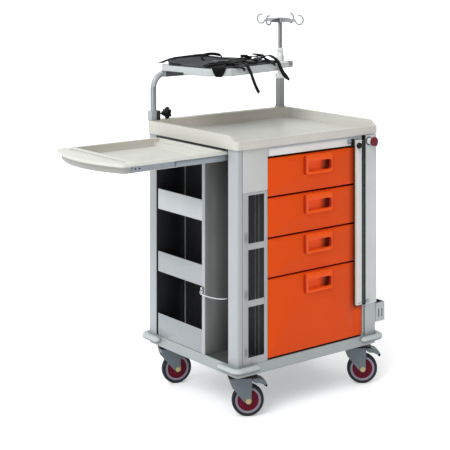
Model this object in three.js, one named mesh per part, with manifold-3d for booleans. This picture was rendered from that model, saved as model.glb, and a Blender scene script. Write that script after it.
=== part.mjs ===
// Emergency (crash) trolley: lacquered steel cabinet on four castors, four drawers behind a locking
// bar, side bins and a cylinder niche, a pull-out side shelf, and a bridge that carries a swivelling
// monitor shelf and an infusion pole. Millimetres, +Z up, drawers open towards -Y.
import * as THREE from "three";
import { mergeVertices } from "three/addons/utils/BufferGeometryUtils.js";
import Module from "manifold-3d";

const wasm = await Module();
wasm.setup();

// ---- driving dimensions -------------------------------------------------------------------------
const GAP = 0.3; // clearance where one piece rests on its neighbour
const BODY = { x: 365, y: 292.5 }; // half width and half depth of the cabinet
const BASE = { z0: 169.2, z1: 210 };
const TOP_Z = 1030.3; // underside of the worktop
const POST_Y = 54.8; // width of each corner post along the side face
const INNER_Y = BODY.y - POST_Y; // inner edges of the posts
const BAY = { x0: -214.6, x1: 284.5 }; // drawer bay
const WALL_X = -218; // left face of the wall between side bins and drawers
const BAR = { x0: 243, x1: 271, y0: -308, y1: -295.5, z0: 345, z1: 1013, hinge: [284, -302] };
const DRAWERS = [
  { z0: 838.3, z1: 983.5 },
  { z0: 681, z1: 830 },
  { z0: 526.5, z1: 673 },
  { z0: 218.3, z1: 518.6 },
];
const DRAWER_X = { x0: -213.5, x1: 240 };
const TRAY_DEPTH = 470;
const BINS = [
  [212, 303],
  [474, 556],
  [728.5, 810.5],
];
const DIVIDER = { y0: -89, y1: -72 };
const WINDOWS = [
  [238, 430.5],
  [455, 647],
  [671, 854],
];
const TOP = { x: 374, y0: -299.5, y1: 296.5, z1: 1082.5, floor: 1038.5, lip: 1062, corner: 20 };
const WALL_TOP = 966; // the side shelf slides in above the inner walls and the top drawer
const SHELF = { x0: -843, x1: -352, bow: 50, y: 230, z0: 982, floor: 986, rim: 1007.5, z1: 1018.5 };
const RAIL = { y: 279, r: 12.5, z: 1271.5, half: 13.3, left: -350.5, right: 334.5, end: 398 };
const COLUMN = { x: 16, y: 13.5 }; // half sizes of the tube that guides the bridge's right leg
const PLATE = { pivot: [-60, 279], yaw: 12, z0: 1285.2, thick: 22 };
const FLANGE_Z = 1277; // lower edge of the shelf's flange
const POLE = { r: 8.5, z0: 1112, z1: 1458 };
const HOOKS = { yaw: 19, reach: 98, curl: 20.5 };
const CASTOR = { x: 303, y: 232, wheel: 62.5, trail: 30, top: 168.9 };
const CASTOR_YAW = { fl: -30, fr: -36, rl: -17, rr: -40 };

// ---- solids -------------------------------------------------------------------------------------
const clean = (geometry) => {
  const bare = new THREE.BufferGeometry();
  bare.setAttribute("position", geometry.getAttribute("position"));
  bare.setIndex(geometry.getIndex());
  return mergeVertices(bare, 1e-3);
};

const toSolid = (geometry) => {
  const merged = clean(geometry);
  return new wasm.Manifold(
    new wasm.Mesh({
      numProp: 3,
      vertProperties: new Float32Array(merged.attributes.position.array),
      triVerts: new Uint32Array(merged.index.array),
    }),
  );
};

const toGeometry = (solid) => {
  const mesh = solid.getMesh();
  const geometry = new THREE.BufferGeometry();
  geometry.setAttribute("position", new THREE.BufferAttribute(new Float32Array(mesh.vertProperties), 3));
  geometry.setIndex(new THREE.BufferAttribute(new Uint32Array(mesh.triVerts), 1));
  return geometry;
};

const join = (...parts) => toGeometry(parts.map(toSolid).reduce((sum, part) => sum.add(part)));
const cut = (stock, ...tools) =>
  toGeometry(tools.map(toSolid).reduce((left, tool) => left.subtract(tool), toSolid(stock)));

const box = (x0, x1, y0, y1, z0, z1) =>
  new THREE.BoxGeometry(x1 - x0, y1 - y0, z1 - z0).translate((x0 + x1) / 2, (y0 + y1) / 2, (z0 + z1) / 2);

// Outline of a rectangle whose corners (front left, front right, back right, back left) are rounded.
const rounded = (x0, x1, y0, y1, r) => {
  const [fl, fr, br, bl] = Array.isArray(r) ? r : [r, r, r, r];
  const shape = new THREE.Shape();
  shape.moveTo(x0 + fl, y0);
  shape.lineTo(x1 - fr, y0);
  if (fr) shape.absarc(x1 - fr, y0 + fr, fr, -Math.PI / 2, 0);
  shape.lineTo(x1, y1 - br);
  if (br) shape.absarc(x1 - br, y1 - br, br, 0, Math.PI / 2);
  shape.lineTo(x0 + bl, y1);
  if (bl) shape.absarc(x0 + bl, y1 - bl, bl, Math.PI / 2, Math.PI);
  shape.lineTo(x0, y0 + fl);
  if (fl) shape.absarc(x0 + fl, y0 + fl, fl, Math.PI, 1.5 * Math.PI);
  return shape;
};

const polygon = (points) => new THREE.Shape(points.map(([x, y]) => new THREE.Vector2(x, y)));

const slab = (shape, z0, z1, curveSegments = 5) => {
  const settings = { depth: z1 - z0, bevelEnabled: false, curveSegments };
  return new THREE.ExtrudeGeometry(shape, settings).translate(0, 0, z0);
};

// A shape drawn in X and Z, extruded along Y.
const slabY = (shape, y0, y1, curveSegments = 5) =>
  slab(shape, -y1, -y0, curveSegments).rotateX(Math.PI / 2);

const rod = (r, z0, z1, segments = 16, rTop = r) =>
  new THREE.CylinderGeometry(rTop, r, z1 - z0, segments).rotateX(Math.PI / 2).translate(0, 0, (z0 + z1) / 2);

// Round bar along a curve.
const bar = (curve, r, steps, sides = 8) => {
  const section = new THREE.Shape();
  section.absarc(0, 0, r, 0, 2 * Math.PI);
  return new THREE.ExtrudeGeometry(section, {
    steps,
    extrudePath: curve,
    curveSegments: sides,
    bevelEnabled: false,
  });
};

const vec = ([x, y, z]) => new THREE.Vector3(x, y, z);
const smooth = (points) => new THREE.CatmullRomCurve3(points.map(vec), false, "centripetal");
const deg = THREE.MathUtils.degToRad;

// Side view of a band of even thickness that follows a line of points.
const ribbon = (points, thick, steps) => {
  const line = new THREE.SplineCurve(points.map(([x, y]) => new THREE.Vector2(x, y)));
  const edge = (side) =>
    [...Array(steps + 1).keys()].map((i) => {
      const t = line.getTangent(i / steps);
      const p = line.getPoint(i / steps);
      return [p.x - side * t.y * (thick / 2), p.y + side * t.x * (thick / 2)];
    });
  return polygon([...edge(-1), ...edge(1).reverse()]);
};

// Body of revolution about Z from [radius, height] pairs that start and end on the axis.
const turned = (profile, segments = 20) =>
  new THREE.LatheGeometry(profile.map(([r, z]) => new THREE.Vector2(r, z)), segments).rotateX(Math.PI / 2);

// ---- finishes -----------------------------------------------------------------------------------
const FINISH = {
  orange: [0xdb4c16, 0.35, 0],
  frame: [0xc5cbce, 0.4, 0.1],
  panel: [0xb9bbba, 0.45, 0.1],
  dark: [0x3a3d3f, 0.6, 0],
  moulded: [0xdddccf, 0.5, 0],
  bumper: [0xcdd4d2, 0.55, 0],
  chrome: [0xc8cacc, 0.2, 1],
  fork: [0x5f676e, 0.45, 0.3],
  tyre: [0x1b1c1f, 0.7, 0],
  black: [0x141416, 0.5, 0],
  burgundy: [0x6a1420, 0.4, 0],
  mat: [0x464a4c, 0.9, 0],
};

const cart = new THREE.Group();

const add = (name, finish, geometry) => {
  const [color, roughness, metalness] = FINISH[finish];
  const flat = geometry.index ? geometry.toNonIndexed() : geometry;
  flat.computeVertexNormals();
  const mesh = new THREE.Mesh(flat, new THREE.MeshStandardMaterial({ color, roughness, metalness }));
  mesh.name = name;
  cart.add(mesh);
};

// ---- cabinet ------------------------------------------------------------------------------------
function baseFrame() {
  const plate = slab(rounded(-BODY.x, BODY.x, -BODY.y, BODY.y, 12), BASE.z0, BASE.z1);
  const hollow = box(-245, 245, -160, 160, BASE.z0 - 1, BASE.z1 - 3);
  add("base_frame", "frame", cut(plate, hollow));
}

function posts() {
  const z0 = BASE.z1 + GAP;
  const z1 = TOP_Z;
  const fl = slab(rounded(-BODY.x, -339, -BODY.y, -INNER_Y, [9, 0, 0, 0]), z0, z1);
  add("post_front_left", "frame", fl);
  const fr = slab(rounded(284.8, BODY.x, -BODY.y, -INNER_Y, [0, 9, 0, 0]), z0, z1);
  const leaf = slab(rounded(296, 363, -BODY.y - 6, -BODY.y + 12, [1.5, 1.5, 0, 0]), 338, 1028, 2);
  add("post_front_right", "frame", join(fr, leaf));
  const rl = slab(rounded(-BODY.x, -310, INNER_Y, BODY.y, [0, 0, 0, 9]), z0, z1);
  const web = box(-311, WALL_X - GAP, INNER_Y, INNER_Y + 3, z0, WALL_TOP);
  const bore = rod(RAIL.r + 0.4, 960, 1040, 20).translate(RAIL.left, RAIL.y, 0);
  add("post_rear_left", "frame", cut(join(rl, web), bore));
  const rr = slab(rounded(310, BODY.x, INNER_Y, BODY.y, [0, 0, 9, 0]), z0, z1);
  add("post_rear_right", "frame", rr);
}

function topFrame() {
  const z1 = TOP_Z;
  const deck = box(-BODY.x, BODY.x, -INNER_Y + GAP, INNER_Y - GAP, z1 - 8, z1);
  const front = box(-338.6, BAY.x1, -BODY.y + 4.5, -INNER_Y + 1, z1 - 8, z1);
  const back = box(-309.6, 309.6, INNER_Y - 1, BODY.y, z1 - 8, z1);
  const header = box(BAY.x0, BAY.x1, -BODY.y, -BODY.y + 10, 993, z1);
  const rear = box(-309.6, 309.6, BODY.y - 4, BODY.y, 1000, z1);
  const side = box(BODY.x - 4, BODY.x, -INNER_Y + GAP, INNER_Y - GAP, 1000, z1);
  add("top_frame", "frame", join(deck, front, back, header, rear, side));
}

function panels() {
  const z0 = BASE.z1 + GAP;
  const z1 = 999.7;
  add("back_panel", "panel", box(-309.6, 309.6, BODY.y - 4, BODY.y - 1, z0, z1));
  add("right_panel", "panel", box(BODY.x - 4, BODY.x - 1, -INNER_Y + GAP, INNER_Y - GAP, z0, z1));
  add("bay_wall", "dark", box(WALL_X, WALL_X + 3, -BODY.y + 5, BODY.y - 5, z0, WALL_TOP));
  add("divider_panel", "frame", box(-BODY.x, WALL_X - GAP, DIVIDER.y0, DIVIDER.y1, z0, WALL_TOP));
  const blank = slabY(rounded(-338.7, -215.3, 864.5, TOP_Z, [0, 6, 0, 0]), -BODY.y, -BODY.y + 4);
  add("blank_panel", "panel", blank);
  const face = slabY(rounded(-338.7, -215.3, z0, 863.8, 0), -BODY.y, -BODY.y + 4);
  const holes = WINDOWS.map(([a, b]) =>
    slabY(rounded(-311, -230.5, a, b, 3), -BODY.y - 2, -BODY.y + 6, 2),
  );
  add("window_frame", "frame", cut(face, ...holes));
  const [low, high] = [DRAWERS[3].z0, DRAWERS[0].z1];
  add("bar_seat", "orange", box(DRAWER_X.x1 + 1, BAY.x1, -BODY.y + 1.5, -BODY.y + 14, low, high));
}

// Open tray shelves behind the left side, each with an upturned front that holds its contents in.
function sideBins() {
  BINS.forEach(([z0, z1], index) => {
    const x1 = WALL_X - GAP;
    const y0 = DIVIDER.y1 + GAP;
    const outline = [
      [-BODY.x + 0.5, z0],
      [x1, z0],
      [x1, z0 + 3],
      [-BODY.x + 3.5, z0 + 3],
      [-BODY.x + 3.5, z1],
      [-BODY.x + 0.5, z1],
    ];
    add(`side_bin_${index + 1}`, "frame", slabY(polygon(outline), y0, 226));
  });
}

// ---- drawers ------------------------------------------------------------------------------------
function drawers() {
  DRAWERS.forEach(({ z0, z1 }, index) => {
    const n = index + 1;
    const { x0, x1 } = DRAWER_X;
    const y0 = -BODY.y;
    const front = slabY(rounded(x0, x1, z0, z1, 2), y0, y0 + 18, 2);
    add(`drawer_front_${n}`, "orange", front);
    const tray = { x0: x0 + 12, x1: x1 - 12, y0: y0 + 18 + GAP, z0: z0 + 8, z1: Math.min(z1 - 14, 960) };
    const stock = box(tray.x0, tray.x1, tray.y0, tray.y0 + TRAY_DEPTH, tray.z0, tray.z1);
    const hollow = box(
      tray.x0 + 3,
      tray.x1 - 3,
      tray.y0 + 3,
      tray.y0 + TRAY_DEPTH - 3,
      tray.z0 + 3,
      tray.z1 + 5,
    );
    add(`drawer_tray_${n}`, "panel", cut(stock, hollow));
    add(`drawer_handle_${n}`, "orange", handle(y0 - GAP, z1 - 83));
  });
}

// Moulded pull: a raised frame round a finger pocket that is undercut behind the upper bar.
function handle(y, z) {
  const x0 = -31;
  const x1 = 114.5;
  const outline = rounded(x0, x1, z, z + 79, 8);
  const body = slabY(outline, y - 13, y, 3);
  const pocket = slabY(rounded(x0 + 19, x1 - 9, z + 12, z + 52, 6), y - 20, y - 2.5, 3);
  const under = slabY(rounded(x0 + 23, x1 - 13, z + 48, z + 62, 5), y - 9, y - 2.5, 3);
  return cut(body, pocket, under);
}

// ---- worktop and side shelf ---------------------------------------------------------------------
function worktop() {
  const { x, y0, y1, z1, floor, lip, corner } = TOP;
  const stock = slab(rounded(-x, x, y0, y1, corner), TOP_Z + GAP, z1, 6);
  const well = slab(rounded(-x + 15, x - 15, y0 + 13, 262, 14), floor, z1 + 5, 5);
  // the front wall is low, and the side walls run down to it in a curve
  const low = polygon([
    [y0 - 5, lip],
    [y0 + 15, lip],
    [y0 + 27, lip + 8],
    [y0 + 38, z1 - 4],
    [y0 + 52, z1],
    [y0 + 52, z1 + 6],
    [y0 - 5, z1 + 6],
  ]);
  const front = slab(low, -x - 5, x + 5).rotateX(Math.PI / 2).rotateZ(Math.PI / 2);
  const bore = rod(RAIL.r + 0.4, TOP_Z - 5, z1 + 5, 20).translate(RAIL.left, RAIL.y, 0);
  add("worktop", "moulded", cut(stock, well, front, bore));
}

function sideShelf() {
  const { x0, x1, bow, y, z0, floor, rim: rimZ, z1 } = SHELF;
  const outer = (inset) => {
    const shape = new THREE.Shape();
    const e = y - inset;
    const end = x0 + inset;
    shape.moveTo(x1 - inset, -e);
    shape.lineTo(x1 - inset, e);
    shape.lineTo(end + 14, e);
    shape.quadraticCurveTo(end, e, end - 4, e - 20);
    shape.quadraticCurveTo(end + 4 - 2 * bow, 0, end - 4, -e + 20);
    shape.quadraticCurveTo(end, -e, end + 14, -e);
    shape.lineTo(x1 - inset, -e);
    return shape;
  };
  const rim = slab(outer(0), rimZ, z1, 8);
  const pan = slab(outer(13), z0, rimZ, 8);
  const tray = slab(rounded(x0 + 78, x1 - 36, -y + 17, y - 17, 8), floor, z1 + 5, 3);
  const ledge = slab(rounded(x0 + 90, x1 - 16, -y + 20, y - 20, 8), rimZ - 4, z1 + 5, 3);
  const groove = slab(rounded(x0 + 36, x0 + 53, -190, 190, 8), rimZ + 0.5, z1 + 5, 3);
  add("side_shelf", "moulded", cut(join(rim, pan), tray, ledge, groove));
  for (const [name, side] of [["front", -1], ["rear", 1]]) {
    const a = side * (y - 12);
    const b = side * (y - 2);
    const web = box(-600, -140, Math.min(a, b), Math.max(a, b), z0 + 3, rimZ - 1);
    add(`shelf_slide_${name}`, "chrome", web);
  }
}

// ---- locking bar and lock -----------------------------------------------------------------------
function lockBar() {
  const { x0, x1, y0, y1, z0, z1, hinge } = BAR;
  const shell = slab(rounded(x0, x1, y0, y1, [3, 3, 0, 0]), z0, z1, 2);
  const barrel = rod(4, z0 + 4, z1 - 4, 10).translate(hinge[0], hinge[1], 0);
  const web = box(x1 - 4, hinge[0], hinge[1] - 2, hinge[1] + 2, z0 + 4, z1 - 4);
  add("lock_bar", "frame", join(shell, barrel, web));
  const ball = [[0, 0], [4, 0], [5, 3], [9, 5], [12.3, 10], [11, 15], [6, 18.5], [0, 19]];
  add("bar_knob", "black", turned(ball, 14).rotateX(Math.PI / 2).translate(247.5, y0 - GAP, 993));
  const turn = [[0, 0], [14, 0], [14, 4], [9, 6], [9, 23], [18, 25], [19.3, 28], [19, 34], [16, 37], [0, 37]];
  const knob = turned(turn, 16).rotateX(Math.PI / 2).translate(320, -BODY.y - 6 - GAP, 1004);
  add("lock_knob", "burgundy", knob);
}

function holderBox() {
  const shell = box(BODY.x + GAP, 416.5, -BODY.y + 2, -236, 253, 330.5);
  const hollow = box(BODY.x + 2.3, 414.5, -BODY.y + 4, -238, 255, 340);
  const slots = [381, 399].map((x) => slabY(rounded(x, x + 4.5, 270, 305, 2), -BODY.y, -BODY.y + 6, 2));
  add("holder_box", "frame", cut(shell, hollow, ...slots));
}

// ---- bridge -------------------------------------------------------------------------------------
function bridge() {
  const { y, r, z, half, left, right, end } = RAIL;
  const path = new THREE.CurvePath();
  const bend = 55;
  path.add(new THREE.LineCurve3(vec([left, y, 972]), vec([left, y, z - bend])));
  const k = bend * 0.4477;
  path.add(
    new THREE.CubicBezierCurve3(
      vec([left, y, z - bend]),
      vec([left, y, z - k]),
      vec([left + k, y, z]),
      vec([left + bend, y, z]),
    ),
  );
  const leg = bar(path.curves[0], r, 1, 5);
  const elbow = bar(path.curves[1], r, 7, 5);
  const rail = box(left + bend - 6, end, y - half, y + half, z - half, z + half);
  const sleeve = rod(11, 1096, z, 18).translate(right, y, 0);
  const nut = rod(17, z + 10, 1308, 18).translate(right, y, 0);
  const cone = rod(17, 1307, 1334, 18, 11).translate(right, y, 0);
  const bore = rod(POLE.r + 0.4, 1090, 1340, 18).translate(right, y, 0);
  add("bridge_tube", "frame", cut(join(leg, elbow, rail, sleeve, nut, cone), bore));
  const { x, y: deep } = COLUMN;
  const column = slab(rounded(right - x, right + x, y - deep, y + deep, 5), TOP.z1 + GAP, 1212, 2);
  const collar = slab(rounded(right - x - 2, right + x + 2, y - deep - 2, y + deep + 2, 6), 1211, 1233, 2);
  const guide = rod(11.4, TOP.z1 + 6, 1240, 18).translate(right, y, 0);
  add("bridge_column", "frame", cut(join(column, collar), guide));
}

function clampBlock() {
  const { y, r, left } = RAIL;
  const block = box(left - 19, left + 24, y - 16, y + 15, TOP.z1 + GAP, 1121);
  const bore = rod(r + 0.4, TOP.z1 - 5, 1130, 20).translate(left, y, 0);
  const tap = rod(3.4, 14, 60, 12).rotateY(Math.PI / 2).translate(left, y, 1107);
  add("clamp_block", "dark", cut(block, bore, tap));
  const star = new THREE.Shape();
  const lobes = 6;
  const count = 36;
  for (let i = 0; i < count; i += 1) {
    const angle = (2 * Math.PI * i) / count;
    const radius = 21.5 + 3 * Math.cos(lobes * angle);
    const x = radius * Math.cos(angle);
    const z = radius * Math.sin(angle);
    if (i) star.lineTo(x, z);
    else star.moveTo(x, z);
  }
  const head = slab(star, 62, 76, 1);
  const boss = rod(9, 44, 63, 12, 15);
  const stem = rod(3, 14.5, 46, 10);
  const knob = join(head, boss, stem).rotateY(Math.PI / 2).translate(left, y, 1107);
  add("clamp_knob", "black", knob);
}

function monitorShelf() {
  const { pivot, yaw, z0, thick } = PLATE;
  const place = (geometry) => geometry.rotateZ(deg(yaw)).translate(pivot[0], pivot[1], 0);
  const outline = [
    [-256, -206],
    [-192, -277.5],
    [192, -277.5],
    [227, -242.5],
    [227, 37],
    [192, 72],
    [-221, 72],
    [-256, 37],
  ];
  // turned-down flange along the left side, the cut corner and the front
  const flange = [
    [-256, -80],
    [-256, -206],
    [-192, -277.5],
    [130, -277.5],
    [130, -273.5],
    [-190.2, -273.5],
    [-252, -204.5],
    [-252, -80],
  ];
  const plate = join(slab(polygon(outline), z0, z0 + thick), slab(polygon(flange), FLANGE_Z, z0 + 1));
  add("monitor_shelf", "frame", place(plate));
  const pad = [
    [-244, -200],
    [-188, -264],
    [150, -264],
    [178, -236],
    [178, 30],
    [150, 58],
    [-216, 58],
    [-244, 30],
  ];
  add("shelf_mat", "mat", place(slab(polygon(pad), z0 + thick + GAP, z0 + thick + 4.5)));
  const top = z0 + thick + 4.8 + GAP;
  const drape = [
    [-60, top + 1.6],
    [-150, top + 1.8],
    [-235, top + 4],
    [-276, top + 4],
    [-289, top - 8],
    [-296, top - 60],
    [-307, top - 118],
  ];
  const strap = slab(ribbon(drape, 2.6, 14), -90, -72).rotateX(Math.PI / 2).rotateZ(Math.PI / 2);
  add("shelf_strap", "black", place(strap));
}

function infusionPole() {
  const { y, right } = RAIL;
  add("iv_pole", "chrome", rod(POLE.r, POLE.z0, POLE.z1, 16).translate(right, y, 0));
  const z = POLE.z1 + GAP;
  const hub = rod(12, z, z + 22, 14);
  const arms = [0, 1, 2, 3].map((n) => hookArm(z + 11).rotateZ(deg(HOOKS.yaw + 90 * n)));
  add("iv_hooks", "chrome", join(hub, ...arms).translate(right, y, 0));
}

// One arm of the hook head: a tapered blade that ends in an open curl.
function hookArm(z) {
  const { reach, curl } = HOOKS;
  const blade = slabY(
    polygon([
      [0, z - 9],
      [reach - 30, z - 4],
      [reach - 30, z + 3],
      [0, z + 9],
    ]),
    -2.5,
    2.5,
  );
  const points = [[reach - 40, 0, z]];
  const cx = reach;
  for (let a = -150; a <= 120; a += 30)
    points.push([cx + curl * Math.cos(deg(a)), 0, z + 4 + curl * Math.sin(deg(a))]);
  return join(blade, bar(smooth(points), 2.4, 13, 3));
}

// ---- cylinder retainer --------------------------------------------------------------------------
function retainer() {
  const x = -BODY.x - 7;
  const z = 460;
  const wire = smooth([
    [x, -80.5, z],
    [x - 14, -88, z],
    [x - 30, -112, z],
    [x - 34, -160, z],
    [x - 28, -208, z + 1],
    [x - 12, -232, z + 2],
    [x + 1, -238, z + 3],
  ]);
  const eye = rod(5.5, z - 13, z + 13, 12).translate(x, -80.5, 0);
  add("cylinder_retainer", "chrome", join(bar(wire, 3, 14, 3), eye));
}

// ---- corner bumpers -----------------------------------------------------------------------------
function bumpers() {
  const spread = 28;
  const arm = 84;
  for (const [name, sx, sy] of [["fl", -1, -1], ["fr", 1, -1], ["rl", -1, 1], ["rr", 1, 1]]) {
    const x = BODY.x + spread;
    const y = BODY.y + spread;
    const outer = rounded(BODY.x - arm, x, BODY.y - arm, y, [0, 0, 34, 0]);
    const plate = slab(outer, 184, 212, 7);
    const inner = slab(rounded(0, BODY.x + GAP, 0, BODY.y + GAP, [0, 0, 8, 0]), 180, 220);
    const solid = toSolid(cut(plate, inner)).scale([sx, sy, 1]);
    add(`bumper_${name}`, "bumper", toGeometry(solid));
  }
}

// ---- castors ------------------------------------------------------------------------------------
function wheelSolid() {
  const profile = [
    [0, -16], [13, -16], [15, -9], [42, -8], [46, -12.5], [58, -12.5], [62.5, -8],
    [62.5, 8], [58, 12.5], [46, 12.5], [42, 8], [15, 9], [13, 16], [0, 16],
  ];
  return cut(turned(profile, 24), rod(5.4, -20, 20, 10)).rotateX(Math.PI / 2);
}

function forkSolid() {
  const { wheel, trail, top } = CASTOR;
  const cheek = new THREE.Shape();
  cheek.moveTo(-42, 150);
  cheek.lineTo(-40, 132);
  cheek.lineTo(-33, 115);
  cheek.lineTo(-10, 88);
  cheek.lineTo(trail - 13, wheel);
  cheek.absarc(trail, wheel, 13, Math.PI, 2 * Math.PI);
  cheek.lineTo(44, 118);
  cheek.lineTo(44, 150);
  const left = slabY(cheek, 19.5, 24, 4);
  const right = slabY(cheek, -24, -19.5, 4);
  const crown = slab(rounded(-41, 43.5, -24, 24, 4), 134, 150, 2);
  const brim = slab(rounded(-46, 66, -27, 27, 14), 149.8, 156, 3);
  const head = rod(31, 155, top, 18);
  const axle = rod(5, -30, 30, 10).rotateX(Math.PI / 2).translate(trail, 0, wheel);
  return join(left, right, crown, brim, head, axle);
}

// Hooded brake lever that hinges below the brim and is pressed down with the foot.
function pedalSolid() {
  const side = [
    [46, 149],
    [67, 149],
    [84, 143],
    [97, 132],
    [104, 120],
    [98, 114],
    [90, 121],
    [74, 129],
    [58, 130],
    [46, 136],
  ];
  return slabY(polygon(side), -23.5, 23.5);
}

function castors() {
  for (const [name, sx, sy] of [["fl", -1, -1], ["fr", 1, -1], ["rl", -1, 1], ["rr", 1, 1]]) {
    const place = (geometry) =>
      geometry.rotateZ(deg(CASTOR_YAW[name])).translate(sx * CASTOR.x, sy * CASTOR.y, 0);
    add(`castor_fork_${name}`, "fork", place(forkSolid()));
    add(`castor_wheel_${name}`, "tyre", place(wheelSolid().translate(CASTOR.trail, 0, CASTOR.wheel)));
    if (sy < 0) add(`brake_pedal_${name}`, "black", place(pedalSolid()));
  }
}

baseFrame();
posts();
topFrame();
panels();
sideBins();
drawers();
worktop();
sideShelf();
lockBar();
holderBox();
bridge();
clampBlock();
monitorShelf();
infusionPole();
retainer();
bumpers();
castors();

// The origin is on the floor under the middle of the whole trolley.
const extent = new THREE.Box3().setFromObject(cart);
const middle = extent.getCenter(new THREE.Vector3());
cart.position.set(-middle.x, -middle.y, -extent.min.z);

export default cart;
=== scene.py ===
import math

import bmesh
import bpy
from mathutils import Matrix, Vector, noise as vnoise


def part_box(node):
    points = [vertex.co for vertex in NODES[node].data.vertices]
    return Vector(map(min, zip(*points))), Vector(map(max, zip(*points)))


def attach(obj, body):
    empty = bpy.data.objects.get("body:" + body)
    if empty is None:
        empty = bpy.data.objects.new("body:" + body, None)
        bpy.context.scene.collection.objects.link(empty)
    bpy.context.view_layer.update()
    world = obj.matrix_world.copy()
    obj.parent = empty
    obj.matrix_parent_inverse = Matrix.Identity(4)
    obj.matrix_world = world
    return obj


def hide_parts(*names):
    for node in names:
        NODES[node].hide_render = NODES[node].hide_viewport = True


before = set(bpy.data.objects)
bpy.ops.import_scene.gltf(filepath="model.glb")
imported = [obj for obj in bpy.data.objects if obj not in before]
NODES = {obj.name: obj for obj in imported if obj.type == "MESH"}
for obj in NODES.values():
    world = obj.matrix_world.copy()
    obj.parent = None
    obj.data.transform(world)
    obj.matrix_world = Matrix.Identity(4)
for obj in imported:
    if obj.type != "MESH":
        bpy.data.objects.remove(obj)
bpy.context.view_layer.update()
scene = bpy.context.scene
scene.view_settings.view_transform = "Standard"

# Lengths below are millimetres from the middle of the cabinet's base, so they read like the drawings.
_lo, _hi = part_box("base_frame")
CX, CY = (_lo.x + _hi.x) / 2, (_lo.y + _hi.y) / 2


def at(x, y, z):
    return Vector((x / 1000 + CX, y / 1000 + CY, z / 1000))


def srgb(r, g, b):
    def lin(v):
        v /= 255
        return v / 12.92 if v <= 0.04045 else ((v + 0.055) / 1.055) ** 2.4

    return tuple(lin(v) for v in (r, g, b))


def times(rgb, k):
    return tuple(min(1.0, c * k) for c in rgb)


# ---- materials ----------------------------------------------------------------------------------
def node(nt, kind, **values):
    n = nt.nodes.new(kind)
    for key, value in values.items():
        if key in n.inputs:
            n.inputs[key].default_value = value
        else:
            setattr(n, key, value)
    return n


def feed(nt, value, socket):
    if hasattr(value, "is_linked"):
        nt.links.new(value, socket)
    elif isinstance(value, tuple):
        socket.default_value = (*value, 1)[: len(socket.default_value)]
    else:
        socket.default_value = value


def place(nt, scale=(1, 1, 1)):
    coord = node(nt, "ShaderNodeTexCoord")
    m = node(nt, "ShaderNodeMapping")
    m.inputs["Scale"].default_value = scale
    nt.links.new(coord.outputs["Object"], m.inputs["Vector"])
    return m.outputs["Vector"]


def noise(nt, scale, detail=3.0, stretch=(1, 1, 1)):
    n = node(nt, "ShaderNodeTexNoise", Scale=scale, Detail=detail)
    nt.links.new(place(nt, stretch), n.inputs["Vector"])
    return n.outputs["Fac"]


def spread(nt, fac, low, high, from_low=0.3, from_high=0.7):
    m = node(nt, "ShaderNodeMapRange")
    for key, value in (("From Min", from_low), ("From Max", from_high), ("To Min", low), ("To Max", high)):
        m.inputs[key].default_value = value
    nt.links.new(fac, m.inputs["Value"])
    return m.outputs["Result"]


def maths(nt, how, a, b):
    m = node(nt, "ShaderNodeMath", operation=how)
    feed(nt, a, m.inputs[0])
    feed(nt, b, m.inputs[1])
    return m.outputs[0]


def blend(nt, fac, a, b):
    m = node(nt, "ShaderNodeMix", data_type="RGBA")
    feed(nt, fac, m.inputs[0])
    feed(nt, a, m.inputs[6])
    feed(nt, b, m.inputs[7])
    return m.outputs[2]


def within(nt, soft=0.1, **ranges):
    """1 inside ranges of x, y and z (millimetres, rest position) and 0 outside, over a soft border."""
    coord = node(nt, "ShaderNodeTexCoord")
    xyz = node(nt, "ShaderNodeSeparateXYZ")
    nt.links.new(coord.outputs["Object"], xyz.inputs[0])
    result = None
    for axis, (low, high) in ranges.items():
        i = "xyz".index(axis)
        a, b, half = low / 1000 + (CX, CY, 0)[i], high / 1000 + (CX, CY, 0)[i], soft / 2000
        up = spread(nt, xyz.outputs[i], 0.0, 1.0, a - half, a + half)
        down = spread(nt, xyz.outputs[i], 1.0, 0.0, b - half, b + half)
        both = maths(nt, "MULTIPLY", up, down)
        result = both if result is None else maths(nt, "MULTIPLY", result, both)
    return result


def facing(nt, direction, low, high):
    """Rises from 0 to 1 as the surface turns towards a direction."""
    geo = node(nt, "ShaderNodeNewGeometry")
    dot = node(nt, "ShaderNodeVectorMath", operation="DOT_PRODUCT")
    nt.links.new(geo.outputs["Normal"], dot.inputs[0])
    dot.inputs[1].default_value = direction
    return spread(nt, dot.outputs["Value"], 0.0, 1.0, low, high)


def edges(nt, radius=0.0015):
    """Rises towards 1 along sharp edges, where a finish rubs first."""
    bevel = node(nt, "ShaderNodeBevel", samples=4)
    bevel.inputs["Radius"].default_value = radius
    geo = node(nt, "ShaderNodeNewGeometry")
    dot = node(nt, "ShaderNodeVectorMath", operation="DOT_PRODUCT")
    nt.links.new(bevel.outputs["Normal"], dot.inputs[0])
    nt.links.new(geo.outputs["Normal"], dot.inputs[1])
    return spread(nt, dot.outputs["Value"], 0.0, 0.6, 0.99, 0.85)


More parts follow.
